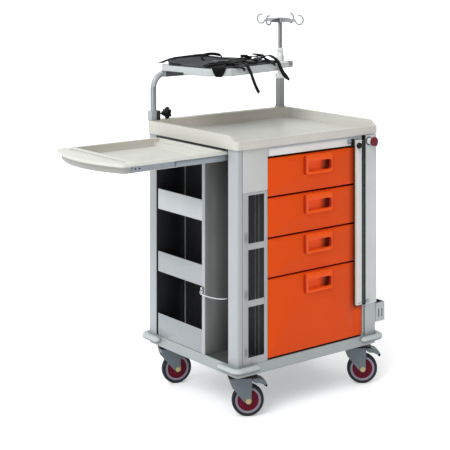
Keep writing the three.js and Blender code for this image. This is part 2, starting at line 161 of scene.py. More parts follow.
def material(name, color, rough, bump_from, bump_strength, bump_depth=0.0004, metallic=0.0, specular=0.3,
             coat=0.0, worn=None, zones=(), turned=(), sheen=0.0, cloud=0.05, rough_spread=0.06,
             cloud_scale=6.0):
    """One finish: a clouded base colour, worn edges, zones of another colour, uneven gloss and relief.

    zones is a list of (colour, ranges in mm). turned is a list of (colour, direction, low, high) that paints
    shade on surfaces that face a direction. bump_from builds the height from the node tree.
    """
    mat = bpy.data.materials.new(name)
    mat.use_nodes = True
    nt = mat.node_tree
    bsdf = nt.nodes["Principled BSDF"]
    clouds = noise(nt, cloud_scale, 4)
    shade = blend(nt, clouds, times(color, 1 - cloud), times(color, 1 + cloud))
    for zone_color, ranges in zones:
        tone = blend(nt, clouds, times(zone_color, 0.85), times(zone_color, 1.15))
        shade = blend(nt, within(nt, **ranges), shade, tone)
    for turned_color, direction, low, high in turned:
        shade = blend(nt, facing(nt, direction, low, high), shade, turned_color)
    if worn:
        shade = blend(nt, edges(nt), shade, worn)
    feed(nt, shade, bsdf.inputs["Base Color"])
    uneven = spread(nt, noise(nt, 34.0, 5), rough - rough_spread, rough + rough_spread)
    feed(nt, uneven, bsdf.inputs["Roughness"])
    bsdf.inputs["Metallic"].default_value = metallic
    bsdf.inputs["Specular IOR Level"].default_value = specular
    bsdf.inputs["Coat Weight"].default_value = coat
    bsdf.inputs["Coat Roughness"].default_value = 0.15
    bsdf.inputs["Sheen Weight"].default_value = sheen
    b = node(nt, "ShaderNodeBump", Strength=bump_strength, Distance=bump_depth)
    feed(nt, bump_from(nt), b.inputs["Height"])
    nt.links.new(b.outputs["Normal"], bsdf.inputs["Normal"])
    return mat


# Heights for the relief: orange peel of lacquer, moulding grain, drawn metal, webbing and foam.
def peel(nt):
    return noise(nt, 700.0, 2)


def grain(nt):
    cells = node(nt, "ShaderNodeTexVoronoi", Scale=900.0, feature="SMOOTH_F1")
    nt.links.new(place(nt), cells.inputs["Vector"])
    return cells.outputs["Distance"]


def drawn(nt):
    return noise(nt, 160.0, 4, (1, 1, 0.04))


def drawn_x(nt):
    return noise(nt, 160.0, 4, (0.04, 1, 1))


def weave(nt):
    """Ribbed tape: warp ribs crossed by a finer weft."""
    waves = []
    for direction, scale in (("X", 150.0), ("Y", 150.0), ("Z", 150.0)):
        w = node(nt, "ShaderNodeTexWave", wave_type="BANDS", bands_direction=direction, Scale=scale)
        w.inputs["Distortion"].default_value = 0.5
        nt.links.new(place(nt), w.inputs["Vector"])
        waves.append(w.outputs["Fac"])
    return maths(nt, "MULTIPLY", maths(nt, "ADD", waves[0], waves[1]), maths(nt, "ADD", waves[2], 0.4))


def foam(nt):
    return maths(nt, "ADD", noise(nt, 420.0, 4), maths(nt, "MULTIPLY", noise(nt, 38.0, 3), 2.0))


def lacquer(name, rgb, **more):
    values = dict(rough=0.34, bump_from=peel, bump_strength=0.12, coat=0.12, worn=times(rgb, 1.12))
    values.update(more)
    return material(name, rgb, **values)


def moulded(name, rgb, **more):
    values = dict(rough=0.42, bump_from=grain, bump_strength=0.1, bump_depth=0.0002, specular=0.35)
    values.update(more)
    return material(name, rgb, **values)


# ---- finishes -----------------------------------------------------------------------------------
FRAME = srgb(160, 165, 168)
LIGHT = srgb(182, 186, 187)
BASE = srgb(146, 153, 154)
PANEL = srgb(176, 178, 176)
# DARK serves below as painted shade inside the niche, the side bins and the holder box, and on the rear left
# post's inner face.
DARK = srgb(40, 41, 44)
# Painted shade on the divider's face inside the niche.
PAINTED_DIVIDER_SHADE = srgb(98, 100, 99)
# Near-black painted shadow for gaps and grooves.
GLOOM = srgb(12, 12, 13)
ORANGE = srgb(203, 67, 5)
# Painted shadow of the locking bar, laid on the right ends of the drawer fronts.
PAINTED_BAR_SHADOW = srgb(96, 22, 4)
CREAM = srgb(189, 189, 182)
PALE_GREY = srgb(206, 209, 208)
# Painted warm tone: painted shade on the worktop's rear inner wall, and painted warm light bounced off the
# orange drawers on the locking bar's left side.
PAINTED_WARM_SHADE_AND_BOUNCE = srgb(196, 189, 179)
RIGHT_SIDE, UNDER = (0.788, -0.616, 0.0), (0.0, 0.0, -1.0)
FRONT, LEFT = (0.0, -1.0, 0.0), (-1.0, 0.0, 0.0)
# Painted shade for steel faces turned to the right.
SHADED_STEEL = (srgb(70, 73, 75), RIGHT_SIDE, 0.25, 0.95)
M = {
    # Drawer lacquer, darker towards its right end: painted shadow of the locking bar.
    "orange": lacquer("orange_lacquer", ORANGE, rough=0.4, worn=srgb(222, 92, 36), specular=0.08, coat=0.03,
                      zones=[(PAINTED_BAR_SHADOW, dict(soft=36, x=(228, 400), z=(330, 1100)))]),
    "frame": lacquer("grey_lacquer", FRAME),
    "panel": lacquer("panel_lacquer", PANEL, rough=0.4),
    "plate": lacquer("shelf_plate_lacquer", srgb(176, 183, 183), rough=0.3, worn=srgb(214, 218, 218)),
    "tray": lacquer("drawer_tray_lacquer", srgb(150, 154, 156), rough=0.42),
    # Near-black inner sheet of the niche: painted shade deep inside the niche.
    "dark": lacquer("inner_sheet", DARK, rough=0.5, worn=srgb(60, 62, 64), specular=0.2, coat=0),
    "gloom": lacquer("shadow_gap", GLOOM, rough=0.7, worn=srgb(24, 24, 25), specular=0.1, coat=0),
    # The seat behind the locking bar is near black over most of its height: painted shadow of the bar.
    "seat": lacquer("bar_seat_lacquer", ORANGE, rough=0.5, specular=0.1, coat=0, worn=None,
                    zones=[(srgb(54, 16, 7), dict(soft=24, z=(332, 1100)))]),
    "worktop": moulded("worktop_moulding", CREAM, zones=[
        # Front face a little darker and warmer: painted shade.
        (srgb(184, 181, 175), dict(soft=3, y=(-310, -296.5), z=(1025, 1078))),
        # Rear inner wall: painted warm shade.
        (PAINTED_WARM_SHADE_AND_BOUNCE, dict(y=(256, 263.2), z=(1038.7, 1083)))]),
    "side_shelf": moulded("side_shelf_moulding", srgb(200, 201, 194), zones=[
        # Rear inner wall darker and warmer: painted shade.
        (srgb(186, 182, 172), dict(y=(205, 213.6), z=(986.2, 1017))),
        (srgb(150, 151, 146), dict(soft=12, x=(-900, -775), z=(970, 1006)))]),
    # Pull faces turned to the left are a darker orange: painted shade.
    "pull": moulded("handle_moulding", srgb(218, 78, 18), rough=0.3, specular=0.12,
                    turned=[(srgb(150, 40, 16), LEFT, 0.25, 0.8)]),
    # Faces turned downwards are dark grey: painted shade under the bumper.
    "bumper": moulded("bumper_plastic", srgb(170, 177, 177), rough=0.45,
                      turned=[(srgb(70, 75, 76), UNDER, -0.1, 0.75)]),
    # Bright steel, darker on faces turned to the right: painted shade.
    "chrome": material("bright_steel", srgb(200, 203, 206), 0.14, drawn, 0.04, metallic=1.0,
                       turned=[SHADED_STEEL]),
    # Hook steel, darker on faces turned to the right: painted shade.
    "hook": material("hook_steel", srgb(158, 160, 162), 0.32, drawn, 0.05, metallic=0.4,
                     turned=[(srgb(92, 94, 96), RIGHT_SIDE, 0.2, 0.9)]),
    # Pole steel, darker on faces turned to the right: painted shade.
    "pole": material("pole_steel", srgb(140, 143, 144), 0.3, drawn, 0.06, metallic=0.6,
                     turned=[(srgb(60, 62, 64), RIGHT_SIDE, 0.15, 0.5)]),
    "slide": material("slide_zinc", srgb(140, 146, 154), 0.38, drawn_x, 0.1, metallic=0.8),
    "fork": moulded("castor_plastic", srgb(88, 97, 104), rough=0.4),
    "tyre": material("tyre_rubber", srgb(16, 19, 24), 0.6, foam, 0.15, specular=0.3, rough_spread=0.12),
    "ring": moulded("wheel_ring", srgb(118, 114, 128), rough=0.4),
    "hub": moulded("wheel_hub", srgb(84, 1, 26), rough=0.4, specular=0.12),
    "bolt": material("axle_bolt", srgb(170, 156, 112), 0.4, grain, 0.05, metallic=0.3),
    "black": moulded("black_plastic", srgb(10, 10, 12), rough=0.4, specular=0.2),
    "burgundy": moulded("burgundy_plastic", srgb(96, 18, 32), rough=0.34, specular=0.25),
    "mat": material("mat_foam", srgb(58, 62, 65), 0.85, foam, 0.5, 0.0008, specular=0.1, sheen=0.04,
                    cloud=0.3, cloud_scale=14.0),
    "strap": material("strap_webbing", srgb(9, 9, 11), 0.75, weave, 0.6, 0.0005, specular=0.12, sheen=0.03,
                      cloud=0.3),
    "buckle": moulded("buckle_plastic", srgb(7, 7, 9), rough=0.34, specular=0.25),
    # Column alloy, a touch darker on faces turned to the front: painted shade.
    "alloy": material("column_alloy", srgb(150, 152, 152), 0.36, drawn, 0.1, metallic=0.35,
                      turned=[(srgb(146, 148, 148), FRONT, 0.4, 0.8)]),
    "rib": lacquer("rib_lacquer", srgb(112, 114, 115)),
    "pale": moulded("sleeve_plastic", PALE_GREY, rough=0.35),
}


# ---- building pieces ----------------------------------------------------------------------------
def soften(o, angle=38):
    for p in o.data.polygons:
        p.use_smooth = True
    o.data.set_sharp_from_angle(angle=math.radians(angle))


def bevel(o, width_mm, segments=2, angle=35):
    m = o.modifiers.new("edge", "BEVEL")
    m.width = width_mm / 1000
    m.segments = segments
    m.limit_method = "ANGLE"
    m.angle_limit = math.radians(angle)
    m.use_clamp_overlap = True


def make(name, shape, mat, body, *nodes, round_mm=0.0, smooth=38, segments=2):
    """A new piece from (vertices in mm, faces) that rides on a body and stands for CAD nodes."""
    verts, faces = shape
    mesh = bpy.data.meshes.new(name)
    mesh.from_pydata([at(*v) for v in verts], [], faces)
    bm = bmesh.new()
    bm.from_mesh(mesh)
    bmesh.ops.remove_doubles(bm, verts=bm.verts, dist=1e-6)
    bmesh.ops.recalc_face_normals(bm, faces=bm.faces)
    bm.to_mesh(mesh)
    bm.free()
    mesh.materials.append(M[mat] if isinstance(mat, str) else mat)
    o = bpy.data.objects.new(name, mesh)
    scene.collection.objects.link(o)
    if round_mm:
        bevel(o, round_mm, segments)
    soften(o, smooth)
    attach(o, body)
    if nodes:
        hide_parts(*nodes)
    return o


def join(*shapes):
    verts, faces = [], []
    for v, f in shapes:
        faces += [tuple(i + len(verts) for i in face) for face in f]
        verts += list(v)
    return verts, faces


def moved(shape, turn=None, to=(0, 0, 0)):
    turn = turn or Matrix.Identity(3)
    return [tuple(turn @ Vector(v) + Vector(to)) for v in shape[0]], shape[1]


def spin(degrees, axis="Z"):
    return Matrix.Rotation(math.radians(degrees), 3, axis)


def loft(rings, close_start=True, close_end=True, loop=False):
    """Skin through rings of equal length."""
    n = len(rings[0])
    verts = [p for ring in rings for p in ring]
    faces = []
    count = len(rings)
    for r in range(count if loop else count - 1):
        a, b = r * n, (r + 1) % count * n
        faces += [(a + i, a + (i + 1) % n, b + (i + 1) % n, b + i) for i in range(n)]
    if not loop:
        if close_start:
            faces.append(tuple(range(n))[::-1])
        if close_end:
            faces.append(tuple(range((count - 1) * n, count * n)))
    return verts, faces


def prism(outline, low, high, axis="z"):
    """Outline extruded along z (outline in x, y), y (outline in x, z) or x (outline in y, z)."""
    def point(a, b, t):
        return {"z": (a, b, t), "y": (a, t, b), "x": (t, a, b)}[axis]

    return loft([[point(a, b, t) for a, b in outline] for t in (low, high)])


def block(x0, x1, y0, y1, z0, z1):
    return prism([(x0, y0), (x1, y0), (x1, y1), (x0, y1)], z0, z1)


def rounded(x0, x1, y0, y1, r, steps=4):
    """Rectangle with rounded corners as a list of points."""
    out = []
    corners = ((x1 - r, y1 - r, 0), (x0 + r, y1 - r, 90), (x0 + r, y0 + r, 180), (x1 - r, y0 + r, 270))
    for cx, cy, start in corners:
        for i in range(steps + 1):
            a = math.radians(start + 90 * i / steps)
            out.append((cx + r * math.cos(a), cy + r * math.sin(a)))
    return out


def lathe(profile, steps=32, axis="z"):
    """Body of revolution from (radius, height) pairs.

    The profile starts and ends on the axis, or else it is a closed ring.
    """
    turns = [2 * math.pi * i / steps for i in range(steps)]

    def ring(r, h):
        pts = [(r * math.cos(t), r * math.sin(t)) for t in turns]
        return [{"z": (a, b, h), "y": (a, h, b), "x": (h, a, b)}[axis] for a, b in pts]

    if profile[0][0] == 0:
        return loft([ring(max(r, 0.01), h) for r, h in profile])
    return loft([ring(r, h) for r, h in profile], loop=True)


def between(a, b, c, d, t):
    """Catmull-Rom value a share t of the way from b to c."""
    square, cube = 2 * a - 5 * b + 4 * c - d, 3 * b - a - 3 * c + d
    return 0.5 * (2 * b + (c - a) * t + square * t * t + cube * t ** 3)


def curve(points, steps=8):
    """Smooth line through control points (any number of values each)."""
    pts = [points[0]] + list(points) + [points[-1]]
    out = []
    for k in range(1, len(pts) - 2):
        for s in range(steps):
            out.append(tuple(between(*four, s / steps) for four in zip(*pts[k - 1 : k + 3])))
    out.append(tuple(points[-1]))
    return out


def tangents(line):
    out = []
    for i in range(len(line)):
        a = Vector(line[max(i - 1, 0)][:3])
        b = Vector(line[min(i + 1, len(line) - 1)][:3])
        out.append((b - a).normalized())
    return out


def tube(points, r, sides=10, steps=8, squash=1.0):
    """Round bar along a smooth line, with domed ends."""
    line = curve(points, steps)
    rings = []
    normal = None
    for p, t in zip(line, tangents(line)):
        normal = normal - normal.dot(t) * t if normal else t.orthogonal()
        normal.normalize()
        rings.append((Vector(p[:3]), t, normal.copy(), 1.0))
    first, last = rings[0], rings[-1]
    caps = [(-math.sin(a), math.cos(a)) for a in (1.45, 1.0, 0.5)]
    rings = (
        [(first[0] + first[1] * r * d, first[1], first[2], k) for d, k in caps]
        + rings
        + [(last[0] - last[1] * r * d, last[1], last[2], k) for d, k in reversed(caps)]
    )
    skin = []
    for p, t, n, k in rings:
        b = t.cross(n)
        skin.append([
            tuple(p + n * r * k * math.cos(a) + b * r * k * squash * math.sin(a))
            for a in (2 * math.pi * i / sides for i in range(sides))
        ])
    return loft(skin)


# Section of a strap with eased edges, as shares of half its width and half its thickness.
TAPE = ((-1, -0.4), (-0.92, -1), (0.92, -1), (1, -0.4), (1, 0.4), (0.92, 1), (-0.92, 1), (-1, 0.4))


def tape(points, thick):
    """Flat strap; a control point is x, y, z, width and the direction the width lies in (dx, dy, dz)."""
    line = curve(points)
    skin = []
    for p, t in zip(line, tangents(line)):
        w = Vector(p[4:7])
        w = (w - w.dot(t) * t).normalized()
        n = t.cross(w)
        half = p[3] / 2
        c = Vector(p[:3])
        skin.append([tuple(c + w * a * half + n * b * thick / 2) for a, b in TAPE])
    return loft(skin)


# ---- CAD nodes that keep their shape --------------------------------------------------------------
def keep(name, mat, width_mm=1.2, segments=2):
    o = NODES[name]
    o.data.materials.clear()
    o.data.materials.append(M[mat] if isinstance(mat, str) else mat)
    weld = o.modifiers.new("weld", "WELD")
    weld.merge_threshold = 0.00001
    bevel(o, width_mm, segments)
    soften(o)


KEPT = {
    "frame": ["post_rear_right"],
    "panel": ["back_panel", "right_panel", "blank_panel"],
    "dark": ["bay_wall"],
    "seat": ["bar_seat"],
    "tray": [f"drawer_tray_{k}" for k in (1, 2, 3, 4)],
    "plate": ["monitor_shelf"],
    "worktop": ["worktop"],
    "side_shelf": ["side_shelf"],
    "pole": ["iv_pole"],
    "chrome": ["cylinder_retainer"],
    "slide": ["shelf_slide_front", "shelf_slide_rear"],
    "black": ["clamp_knob"],
}
for key, names in KEPT.items():
    for name in names:
        keep(name, key)

# Nodes whose colour changes by place: a base colour, then zones over it. Most zones are painted shade and
# shadow in gaps, grooves, hollows and under parts, with painted light on the header and the locking bar.
# Painted contact shade on the window frame's jamb, just above each of the three shelves.
PAINTED_CONTACT_SHADE = srgb(96, 98, 99)
ZONED = {
    # Dark line along the top of the base: painted shadow in the gap under the panels.
    "base_frame": (BASE, [(srgb(70, 72, 72), dict(x=(-361, 361), y=(-288, 288), z=(209.4, 211)))]),
    # Darker strip on the front left post: painted shade in the gap beside the panel.
    "post_front_left": (FRAME, [(srgb(120, 122, 124), dict(x=(-342.5, -338), y=(-293, -240)))]),
    # Front right post: the near-black strip is painted shadow in the groove beside the leaf.
    "post_front_right": (FRAME, [(LIGHT, dict(y=(-300, -293.4))),
                                 (GLOOM, dict(x=(294, 300.5), y=(-300, -290)))]),
    # Window frame: darker patches above each shelf, painted shade.
    "window_frame": (srgb(154, 156, 157), [(PAINTED_CONTACT_SHADE, dict(soft=18, x=(-327, -316), z=(a, a + 34)))
                                           for a in (244, 462, 678)]),
    # Top frame: near-black lines are painted shadow under the worktop's edge; the lighter header front above
    # the drawers is painted light against the worktop's overhang shade.
    "top_frame": (FRAME, [(GLOOM, dict(x=(-364, 364), y=(-287, 291), z=(1021, 1022.8))),
                          (GLOOM, dict(x=(-366, -364.5), z=(1021, 1031))),
                          (srgb(202, 200, 197),
                           dict(soft=6, x=(-208, 240), y=(-296, -289), z=(985, 1020.5)))]),
    # Divider: its niche side in painted shade.
    "divider_panel": (FRAME, [(PAINTED_DIVIDER_SHADE, dict(x=(-362, -200)))]),
    # Rear left post: dark inner face, painted shade inside the niche.
    "post_rear_left": (FRAME, [(DARK, dict(x=(-363.5, -200), y=(236, 241.2)))]),
    # Side bins: one grey in lit and shaded copies, lightest at the top, and all but their outer left faces in
    # dark painted shade.
    "side_bin_1": (srgb(142, 147, 150), [(DARK, dict(x=(-361.2, -200)))]),
    "side_bin_2": (srgb(155, 160, 163), [(DARK, dict(x=(-361.2, -200)))]),
    "side_bin_3": (srgb(185, 190, 193), [(DARK, dict(x=(-361.2, -200)))]),
    # Holder box: dark inside, painted shade.
    "holder_box": (FRAME, [(DARK, dict(x=(366.5, 415.5), y=(-289.5, -237), z=(254.5, 329)))]),
    # Locking bar: painted warm light bounced off the drawers on its left side, and near-black painted shadow
    # of the groove on its right part.
    "lock_bar": (srgb(192, 195, 196), [(PAINTED_WARM_SHADE_AND_BOUNCE, dict(x=(242, 243.4))), (GLOOM, dict(x=(272.6, 300)))]),
    # Bridge tube: the dark band under the monitor shelf is painted shadow of the plate.
    "bridge_tube": (FRAME, [(srgb(58, 60, 62), dict(x=(-297, 300), z=(1255, 1290))),
                            (DARK, dict(x=(395, 399))),
                            (PALE_GREY, dict(x=(316, 352), z=(1080, 1340)))]),
    "clamp_block": (FRAME, [(DARK, dict(x=(-346, -320)))]),
}
# Painted shade on the tube's faces turned to the right.
TUBE_SHADE = [(srgb(104, 107, 109), RIGHT_SIDE, 0.35, 0.95)]
for name, (color, zones) in ZONED.items():
    turned = TUBE_SHADE if name == "bridge_tube" else ()
    keep(name, lacquer(f"{name}_lacquer", color, zones=zones, turned=turned))

# ---- drawer fronts and pulls ----------------------------------------------------------------------
FACE_Y, FACE_BACK, POCKET_Y = -292.5, -274.5, -277.5
FRONT_X = (-213.5, 240)
PULL_X = (-31, 114.5)
DRAWERS = [(838.3, 983.5), (681, 830), (526.5, 673), (218.3, 518.6)]
PULL_HEIGHT, PULL_DROP = 79, 83
# Pocket: darker towards its right end, painted shade in the deep part.
M["pocket"] = moulded("pocket_moulding", srgb(232, 84, 32), rough=0.45, specular=0.1,
                      zones=[(srgb(88, 18, 6), dict(soft=40, x=(80, 130)))])


def upright(outline, y):
    return [(x, y, z) for x, z in outline]


def drawer_front(k, z0, z1):
    """Sheet front with a rounded edge, cut away where the pull's pocket sits."""
    def sheet(inset, y):
        x0, x1 = FRONT_X
        return upright(rounded(x0 + inset, x1 - inset, z0 + inset, z1 - inset, 3), y)

    z = z1 - PULL_DROP
    x0, x1 = PULL_X
    hole = (x0 + 17, x1 - 9, z + 11, z + 53, 9)
    rings = [sheet(0, FACE_BACK), sheet(0, FACE_Y + 1.6), sheet(0.5, FACE_Y + 0.5), sheet(1.6, FACE_Y),
             upright(rounded(*hole), FACE_Y)]
    make(f"front_{k}", loft(rings, close_end=False), "orange", f"drawer_{k}", f"drawer_front_{k}")

    def scoop(outline, left, right):
        """The pocket runs in from shallow on the left to deep on the right."""
        return [(x, left + (right - left) * (x - x0) / (x1 - x0), h) for x, h in outline]

    left, right, bottom, top, _ = hole
    cup = [upright(rounded(*hole), FACE_Y),
           scoop(rounded(left + 1.5, right - 1.5, bottom + 1.5, top - 1.5, 8), -291, -281),
           scoop(rounded(left + 7, right - 5, bottom + 5, top - 5, 6), -290, POCKET_Y)]
    make(f"pocket_{k}", loft(cup, close_start=False), "pocket", f"drawer_{k}", smooth=70)


def drawer_pull(k, z1):
    z = z1 - PULL_DROP
    x0, x1 = PULL_X
    # inset and depth of the frame's section, from its foot round the front to the inside
    outer = [(0, -292.7), (0.3, -299), (1.6, -303.4), (4.5, -305.6)]
    inner = [(0, -305.6), (2.5, -304), (3.8, -300), (4.2, -292.7)]
    top = z + PULL_HEIGHT
    rings = [upright(rounded(x0 + a, x1 - a, z + a, top - a, 11 - a * 0.5, 5), y) for a, y in outer]
    rings += [
        upright(rounded(x0 + 14 + a, x1 - 6 - a, z + 9 + a, z + 56 - a, max(9 - a * 0.3, 5), 5), y)
        for a, y in inner
    ]
    make(f"pull_{k}", loft(rings, loop=True), "pull", f"drawer_{k}", f"drawer_handle_{k}", smooth=60)


for k, (z0, z1) in enumerate(DRAWERS, 1):
    drawer_front(k, z0, z1)
    drawer_pull(k, z1)

# ---- locking bar, lock and fascia details ---------------------------------------------------------
make("lock_bracket", prism(rounded(203, 225, 1000, 1018, 5), -296, FACE_Y - 0.2, "y"), "slide", "cabinet",
     round_mm=1)
make("lock_plate", prism(rounded(224, 239, 986, 1019, 2), -297.5, FACE_Y - 0.2, "y"), "black", "cabinet",
     round_mm=1)
BALL = [(0, 0), (6, 0), (6, 3), (10, 4), (12.3, 7), (12.6, 10.5), (11, 15), (7, 18), (3, 19), (0, 19)]
BALL_AT, RING_AT, KNOB_AT = (246, -308.2, 993), (318, 0, 1004), (320, -298.8, 1004)


def forwards(profile, steps, place_at):
    """Body of revolution about an axis that points out of the front."""
    return moved(lathe([(r, -h) for r, h in profile], steps, "y"), to=place_at)


make("bar_ball", forwards(BALL, 28, BALL_AT), "black", "lock_bar", "bar_knob", smooth=60)
# Thin near-black strip where the bar has a notch: painted shade.
make("bar_slot", block(247, 267, -308.5, -308.05, 352, 354), "dark", "lock_bar")
RING = [(13.5, 299), (17, 299), (16.6, 301.4), (14, 301.4)]
DISC = [(0, 298.6), (13.6, 298.6), (13.4, 299.8), (0, 299.9)]
make("escutcheon_ring", forwards(RING, 36, RING_AT), "black", "cabinet")
make("escutcheon", forwards(DISC, 36, RING_AT), "frame", "cabinet")
NECK = [(0, 0), (13, 0), (13, 3), (9.5, 5), (9.5, 24), (0, 24)]
TURN = [(0, 23.5), (15, 23.5), (18.2, 25), (19.3, 28), (19, 33), (17, 36), (11, 37), (0, 37)]
make("turn_neck", forwards(NECK, 30, KNOB_AT), "pale", "lock_knob", smooth=60)
make("turn_knob", forwards(TURN, 30, KNOB_AT), "burgundy", "lock_knob", "lock_knob", smooth=60)
wing = prism(rounded(-3.5, 3.5, -19, 19, 3), -39.5, -35, "y")
make("turn_wing", moved(wing, spin(-24, "Y"), KNOB_AT), "burgundy", "lock_knob", round_mm=1.2)
make("leaf_latch", prism(rounded(300, 318, 344, 358, 3), -301, -298.3, "y"), "slide", "cabinet",
     round_mm=0.8)
# Near-black strips where grooves run: painted shadow.
make("leaf_groove", block(284.7, 295.7, -293.1, -292.2, 338, 1028), "gloom", "cabinet")
make("fascia_line", block(284.6, 286.4, -293, -292.2, 213, 338), "gloom", "cabinet")
make("window_seam", block(-312.6, -311.6, -292.9, -292.3, 213, 862), "panel", "cabinet")

# ---- side niche details ---------------------------------------------------------------------------
make("corner_strip", block(-221.4, -218.4, 233, 237.5, 212, 965), "frame", "cabinet")
for n, y in enumerate((-223, -245)):
    make(f"wall_rib_{n}", block(-220.4, -218.1, y - 0.9, y + 0.9, 212, 965), "rib", "cabinet")

# ---- corner bumpers -------------------------------------------------------------------------------
BX, BY = 365, 292.5


def bumper(name, sx, sy):
    off, arm, r = 15.6, 84, 21.6
    pts = [(BX - arm, BY + off), (BX - r, BY + off)]
    pts += [(BX + off - r + r * math.sin(a), BY + off - r + r * math.cos(a))
            for a in (math.radians(d) for d in (15, 30, 45, 60, 75))]
    pts += [(BX + off, BY - r), (BX + off, BY - arm)]
    path = [(sx * x, sy * y, 198) for x, y in pts]
    shape = tube(path, 12.4, 16, 4, squash=1.1)
    make(f"bumper_roll_{name}", shape, "bumper", "cabinet", f"bumper_{name}", smooth=70)


CORNERS = {"fl": (-1, -1), "fr": (1, -1), "rl": (-1, 1), "rr": (1, 1)}
for name, (sx, sy) in CORNERS.items():
    bumper(name, sx, sy)

# ---- castors --------------------------------------------------------------------------------------
YAW = {"fl": -30, "fr": -36, "rl": -17, "rr": -40}
CASTOR_X, CASTOR_Y = 303, 232
TRAIL, AXLE_Z = 30, 62.5
# Half sections of the wheel as (radius, distance from the wheel's middle plane).
TREAD_HALF = [(50.2, 11.5), (54, 13.2), (58.5, 12.6), (61.6, 9), (62.5, 3)]
RING_HALF = [(40.6, 9), (42, 11.6), (49, 12.4), (50.4, 11)]
HUB_HALF = [(0, 15), (16, 15), (18, 10), (30, 8), (38, 8.6), (40.8, 10)]
CROWN = [(-42, 150), (-40, 132), (-24, 137), (0, 139), (30, 138), (43.5, 134), (43.5, 150)]
VISOR = [(46, 149), (67, 149), (84, 143), (96, 133), (101, 124), (93, 121), (88, 123), (74, 129), (58, 130),
         (46, 136)]
TIP = [(92, 130), (101, 127), (104.5, 120), (103, 114.5), (98, 113.5), (91, 119)]
CHEEK = [(-42, 150), (-41, 134), (-33, 116), (-10, 88), (13, 60)]
CHEEK += [(TRAIL + 13 * math.cos(math.radians(a)), AXLE_Z + 13 * math.sin(math.radians(a)))
          for a in (200, 235, 270, 305, 340)]
CHEEK += [(43, 70), (41.5, 86), (43, 104), (44, 118), (44, 150)]


def castor(name, sx, sy):
    def place(shape):
        return moved(shape, spin(YAW[name]), (sx * CASTOR_X, sy * CASTOR_Y, 0))

    swivel, wheel = f"castor_{name}", f"wheel_{name}"
    cheeks = [prism(CHEEK, side * 19.5, side * 24, "y") for side in (-1, 1)]
    crown = prism(CROWN, -21.5, 21.5, "y")
    make(f"fork_{name}", place(join(*cheeks, crown)), "fork", swivel, f"castor_fork_{name}", round_mm=1.6,
         segments=3)
    brim = prism(rounded(-47, 67, -27, 27, 14), 150.3, 155.5)
    make(f"brim_{name}", place(brim), "black", swivel, round_mm=1.2)
    head = lathe([(0, 155.6), (27, 155.6), (31, 158), (31, 163.4), (0, 163.4)], 32)
    make(f"head_{name}", place(head), "fork", swivel)
    px, py = sx * CASTOR_X, sy * CASTOR_Y
    plate = prism(rounded(px - 45, px + 45, py - 45, py + 45, 6), 164, 168.9)
    make(f"plate_{name}", plate, "slide", "cabinet", round_mm=0.8)

    def wheel_part(part, half, mat, *nodes, **more):
        profile = [(r, -y) for r, y in half] + half[::-1]
        shape = moved(lathe(profile, 48, "y"), to=(TRAIL, 0, AXLE_Z))
        make(f"{part}_{name}", place(shape), mat, wheel, *nodes, **more)

    wheel_part("tyre", TREAD_HALF, "tyre", f"castor_wheel_{name}", smooth=50)
    wheel_part("ring", RING_HALF, "ring")
    wheel_part("hub", HUB_HALF, "hub")
    for side in (-1, 1):
        washer = [(0, side * 23.6), (11, side * 23.6), (10.6, side * 26), (0, side * 26)]
        hexagon = [(0, side * 26), (7.6, side * 26), (7.4, side * 29.5), (6, side * 30), (0, side * 30)]
        for part, profile, steps in (("washer", washer, 28), ("nut", hexagon, 6)):
            shape = moved(lathe(profile, steps, "y"), to=(TRAIL, 0, AXLE_Z))
            make(f"{part}_{name}_{'ab'[side > 0]}", place(shape), "bolt", swivel)
    if sy < 0:
        pedal(name, place)


def pedal(name, place):
    body = f"pedal_{name}"
    make(f"visor_{name}", place(prism(VISOR, -23.5, 23.5, "y")), "fork", body, f"brake_pedal_{name}",
         round_mm=2, segments=3)
    make(f"tread_{name}", place(prism(TIP, -20, 20, "y")), "black", body, round_mm=1.6, segments=3)


for name, (sx, sy) in CORNERS.items():
    castor(name, sx, sy)

# ---- side shelf details ---------------------------------------------------------------------------
RAIL_INNER, RAIL_OUTER = 217.6, 221.5
SCREW = [(0, RAIL_OUTER), (3.4, RAIL_OUTER), (2.6, RAIL_OUTER + 1.5), (0, RAIL_OUTER + 1.7)]
for side, label in ((-1, "front"), (1, "rear")):
    a, b = sorted((side * RAIL_INNER, side * RAIL_OUTER))
    make(f"shelf_rail_{label}", block(-792, -378, a, b, 984.5, 1006.5), "slide", "side_shelf", round_mm=0.8)
    for n, x in enumerate((-778, -760)):
        screw = lathe([(r, side * y) for r, y in SCREW], 16, "y")
        make(f"shelf_screw_{label}_{n}", moved(screw, to=(x, 0, 996)), "black", "side_shelf")

make("slide_stop", block(-352, -338.5, -232, -222.4, 984, 1007), "black", "shelf_slides", round_mm=1.5)

# ---- bridge column and pole head ------------------------------------------------------------------
RAIL_Y, RIGHT = 279, 334.5


def grooved(x, y, depth=1.8, corner=2.5):
    """Rectangular section with cut corners and three shallow grooves in each face."""
    def side(half, face):
        out = []
        for a, b in ((-0.62, -0.5), (-0.12, 0.12), (0.5, 0.62)):
            out += [(a * half, face), (a * half, face - depth), (b * half, face - depth), (b * half, face)]
        return out

    front = [(px, -py) for px, py in side(x, y)]
    right = [(py, px) for px, py in side(y, x)]
    back = [(-px, py) for px, py in side(x, y)]
    left = [(-py, -px) for px, py in side(y, x)]
    return (front + [(x - corner, -y), (x, -y + corner)] + right + [(x, y - corner), (x - corner, y)]
            + back + [(-x + corner, y), (-x, y - corner)] + left + [(-x, -y + corner), (-x + corner, -y)])


